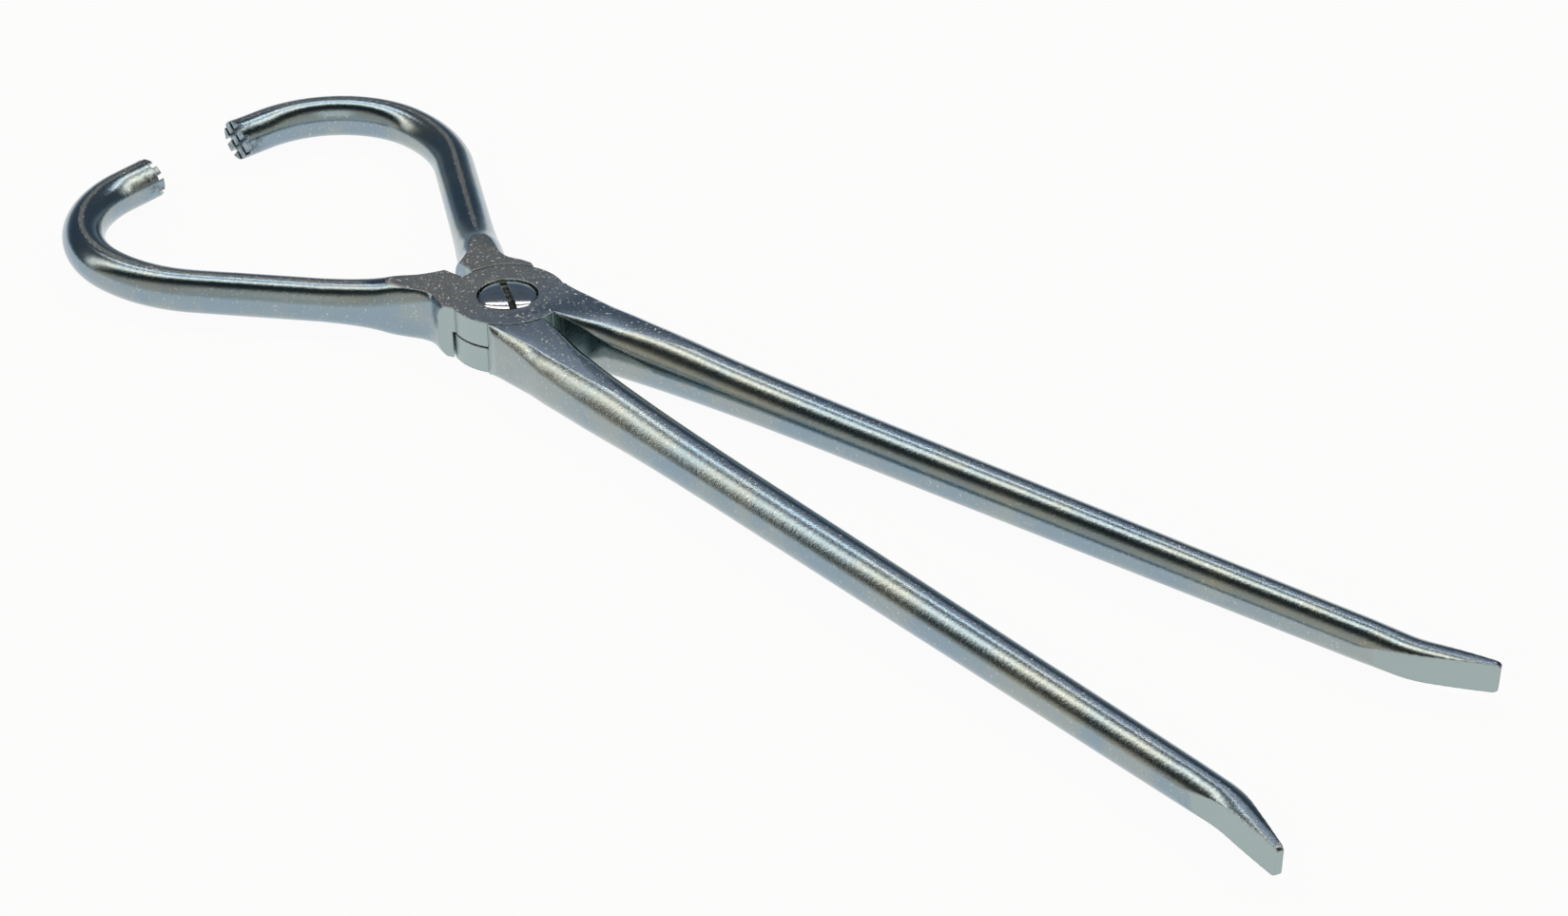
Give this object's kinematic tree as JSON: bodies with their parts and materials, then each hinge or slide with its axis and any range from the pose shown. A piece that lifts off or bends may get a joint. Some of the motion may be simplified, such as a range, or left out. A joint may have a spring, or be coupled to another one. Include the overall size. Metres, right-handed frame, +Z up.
{
  "type": "hook-jawed pincer tongs",
  "caption": "Long-handled steel tongs with hooked, toothed jaws that cross in a screwed lap joint, and flat pry blades at the handle ends.",
  "frame": {"origin": "on the pivot axis, in the plane of the joint's underside, at the screw's flush end", "axes": "+X towards the handle ends, halving the angle between the handles; +Z up along the pivot axis, towards the screw's head"},
  "size_m": [0.329, 0.0972, 0.0126],
  "materials": {
    "forged_steel_upper": "satin plated, fine grain",
    "forged_steel_lower": "satin plated, fine grain",
    "polished_steel": "polished"
  },
  "bodies": {
    "lower": {"lower_lever": "forged_steel_lower", "pivot_screw": "polished_steel"},
    "upper": {"upper_lever": "forged_steel_upper"}
  },
  "joints": [
    {"name": "pivot", "type": "hinge", "parent": "lower", "child": "upper", "pos_m": [0, 0, 0], "axis": [0, 0, 1], "range_deg": [-13, 43]}
  ]
}
